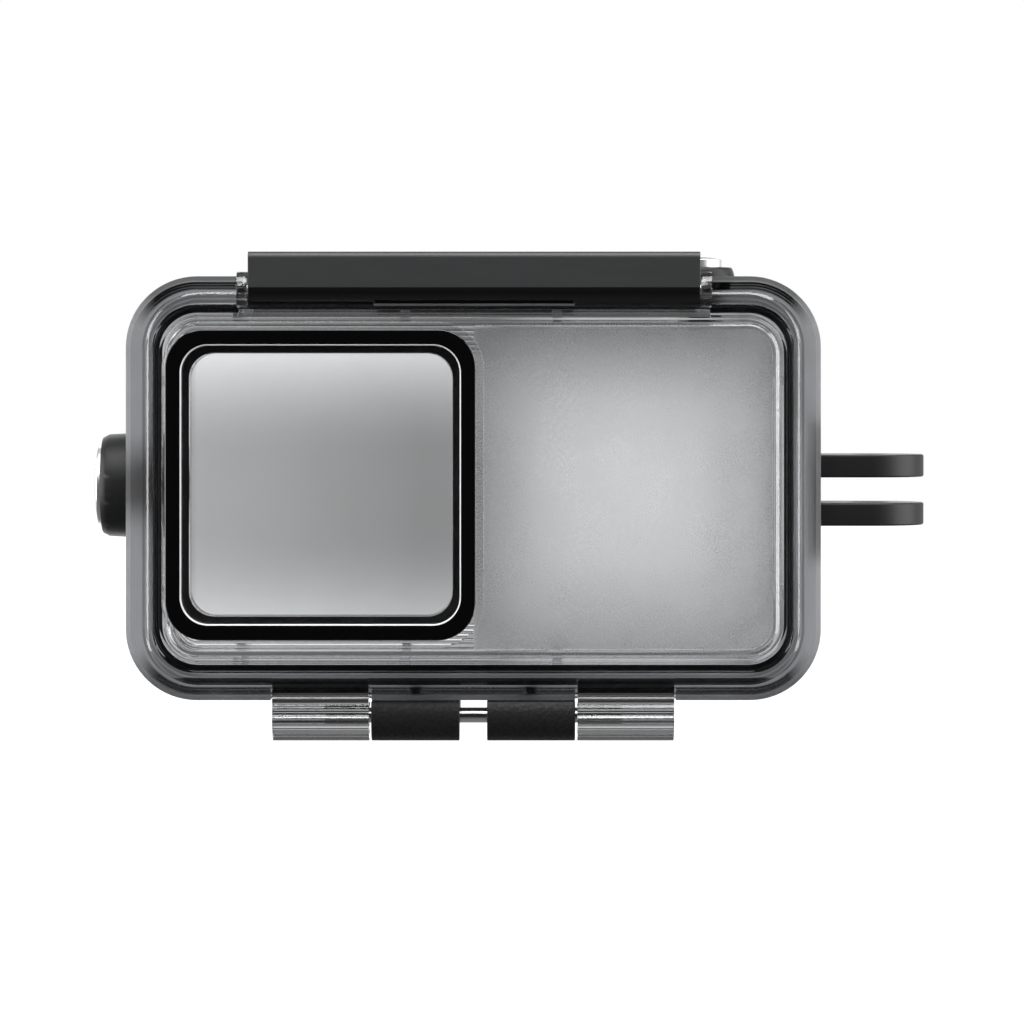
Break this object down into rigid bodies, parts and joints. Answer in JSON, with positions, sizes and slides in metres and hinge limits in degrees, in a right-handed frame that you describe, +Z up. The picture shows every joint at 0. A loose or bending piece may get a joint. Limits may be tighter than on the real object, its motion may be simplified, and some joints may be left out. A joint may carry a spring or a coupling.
{
  "type": "action camera dive housing",
  "caption": "Clear waterproof dive housing for a small action camera: hinged front door with square lens port, over-top latch, two push buttons and a clevis finger mount.",
  "frame": {"origin": "middle of the bore through the two mounting fingers, halfway between them", "axes": "+X from the case towards the fingers' ends, +Y to the back of the case (the lens port looks along -Y), +Z up through the fingers' bore"},
  "size_m": [0.1108, 0.0334, 0.0638],
  "materials": {
    "smoke_clear": "clear polycarbonate with a light smoke tint, polished, fine moulding ripple",
    "clear_door": "clear polycarbonate, polished, with a finely grained frosted front field",
    "satin_black": "satin black glass-filled plastic with a fine moulded texture",
    "grained_black": "black plastic with a leather-like moulded grain",
    "gloss_black": "deep gloss black",
    "port_glass": "flat optical glass, thin anti-reflection coating",
    "pin_steel": "ground stainless steel",
    "screw_steel": "dark stainless steel with hexagon sockets",
    "spring_steel": "drawn spring wire",
    "satin_chrome": "satin silver cap, finely turned",
    "black_silicone": "matt black silicone rubber"
  },
  "bodies": {
    "rear_shell": {"rear_shell": "smoke_clear", "mount_fingers": "satin_black", "hinge_knuckle_left": "grained_black", "hinge_knuckle_right": "grained_black", "hinge_screws": "screw_steel", "hinge_pin": "pin_steel", "shutter_collar": "satin_black", "shutter_wall_seal": "black_silicone", "shutter_stem_seal": "black_silicone", "shutter_nut": "pin_steel", "mode_collar": "satin_black", "mode_wall_seal": "black_silicone", "mode_stem_seal": "black_silicone", "mode_nut": "pin_steel"},
    "front_door": {"front_door": "clear_door", "lens_frame": "gloss_black", "lens_glass": "port_glass", "lens_seal": "black_silicone", "door_gasket": "black_silicone", "latch_pin": "pin_steel"},
    "latch": {"latch": "satin_black"},
    "shutter_button": {"shutter_cap": "satin_chrome", "shutter_stem": "pin_steel", "shutter_clip": "pin_steel", "shutter_tip": "black_silicone", "shutter_spring": "spring_steel"},
    "mode_button": {"mode_cap": "satin_chrome", "mode_stem": "pin_steel", "mode_clip": "pin_steel", "mode_tip": "black_silicone", "mode_spring": "spring_steel"}
  },
  "joints": [
    {"name": "door_hinge", "type": "hinge", "parent": "rear_shell", "child": "front_door", "pos_m": [-0.0527, -0.012, -0.0293], "axis": [1, 0, 0], "range_deg": [0, 110]},
    {"name": "latch_pivot", "type": "hinge", "parent": "front_door", "child": "latch", "pos_m": [-0.05255, -0.017, 0.0263], "axis": [1, 0, 0], "range_deg": [0, 100]},
    {"name": "shutter_press", "type": "slide", "parent": "rear_shell", "child": "shutter_button", "axis": [1, 0, 0], "range_m": [0, 0.0018], "stiffness_N_per_m": 500, "springref_m": -0.002, "deforming": ["shutter_spring"]},
    {"name": "mode_press", "type": "slide", "parent": "rear_shell", "child": "mode_button", "axis": [0, 0, -1], "range_m": [0, 0.0012], "stiffness_N_per_m": 600, "springref_m": -0.0015, "deforming": ["mode_spring"]}
  ]
}
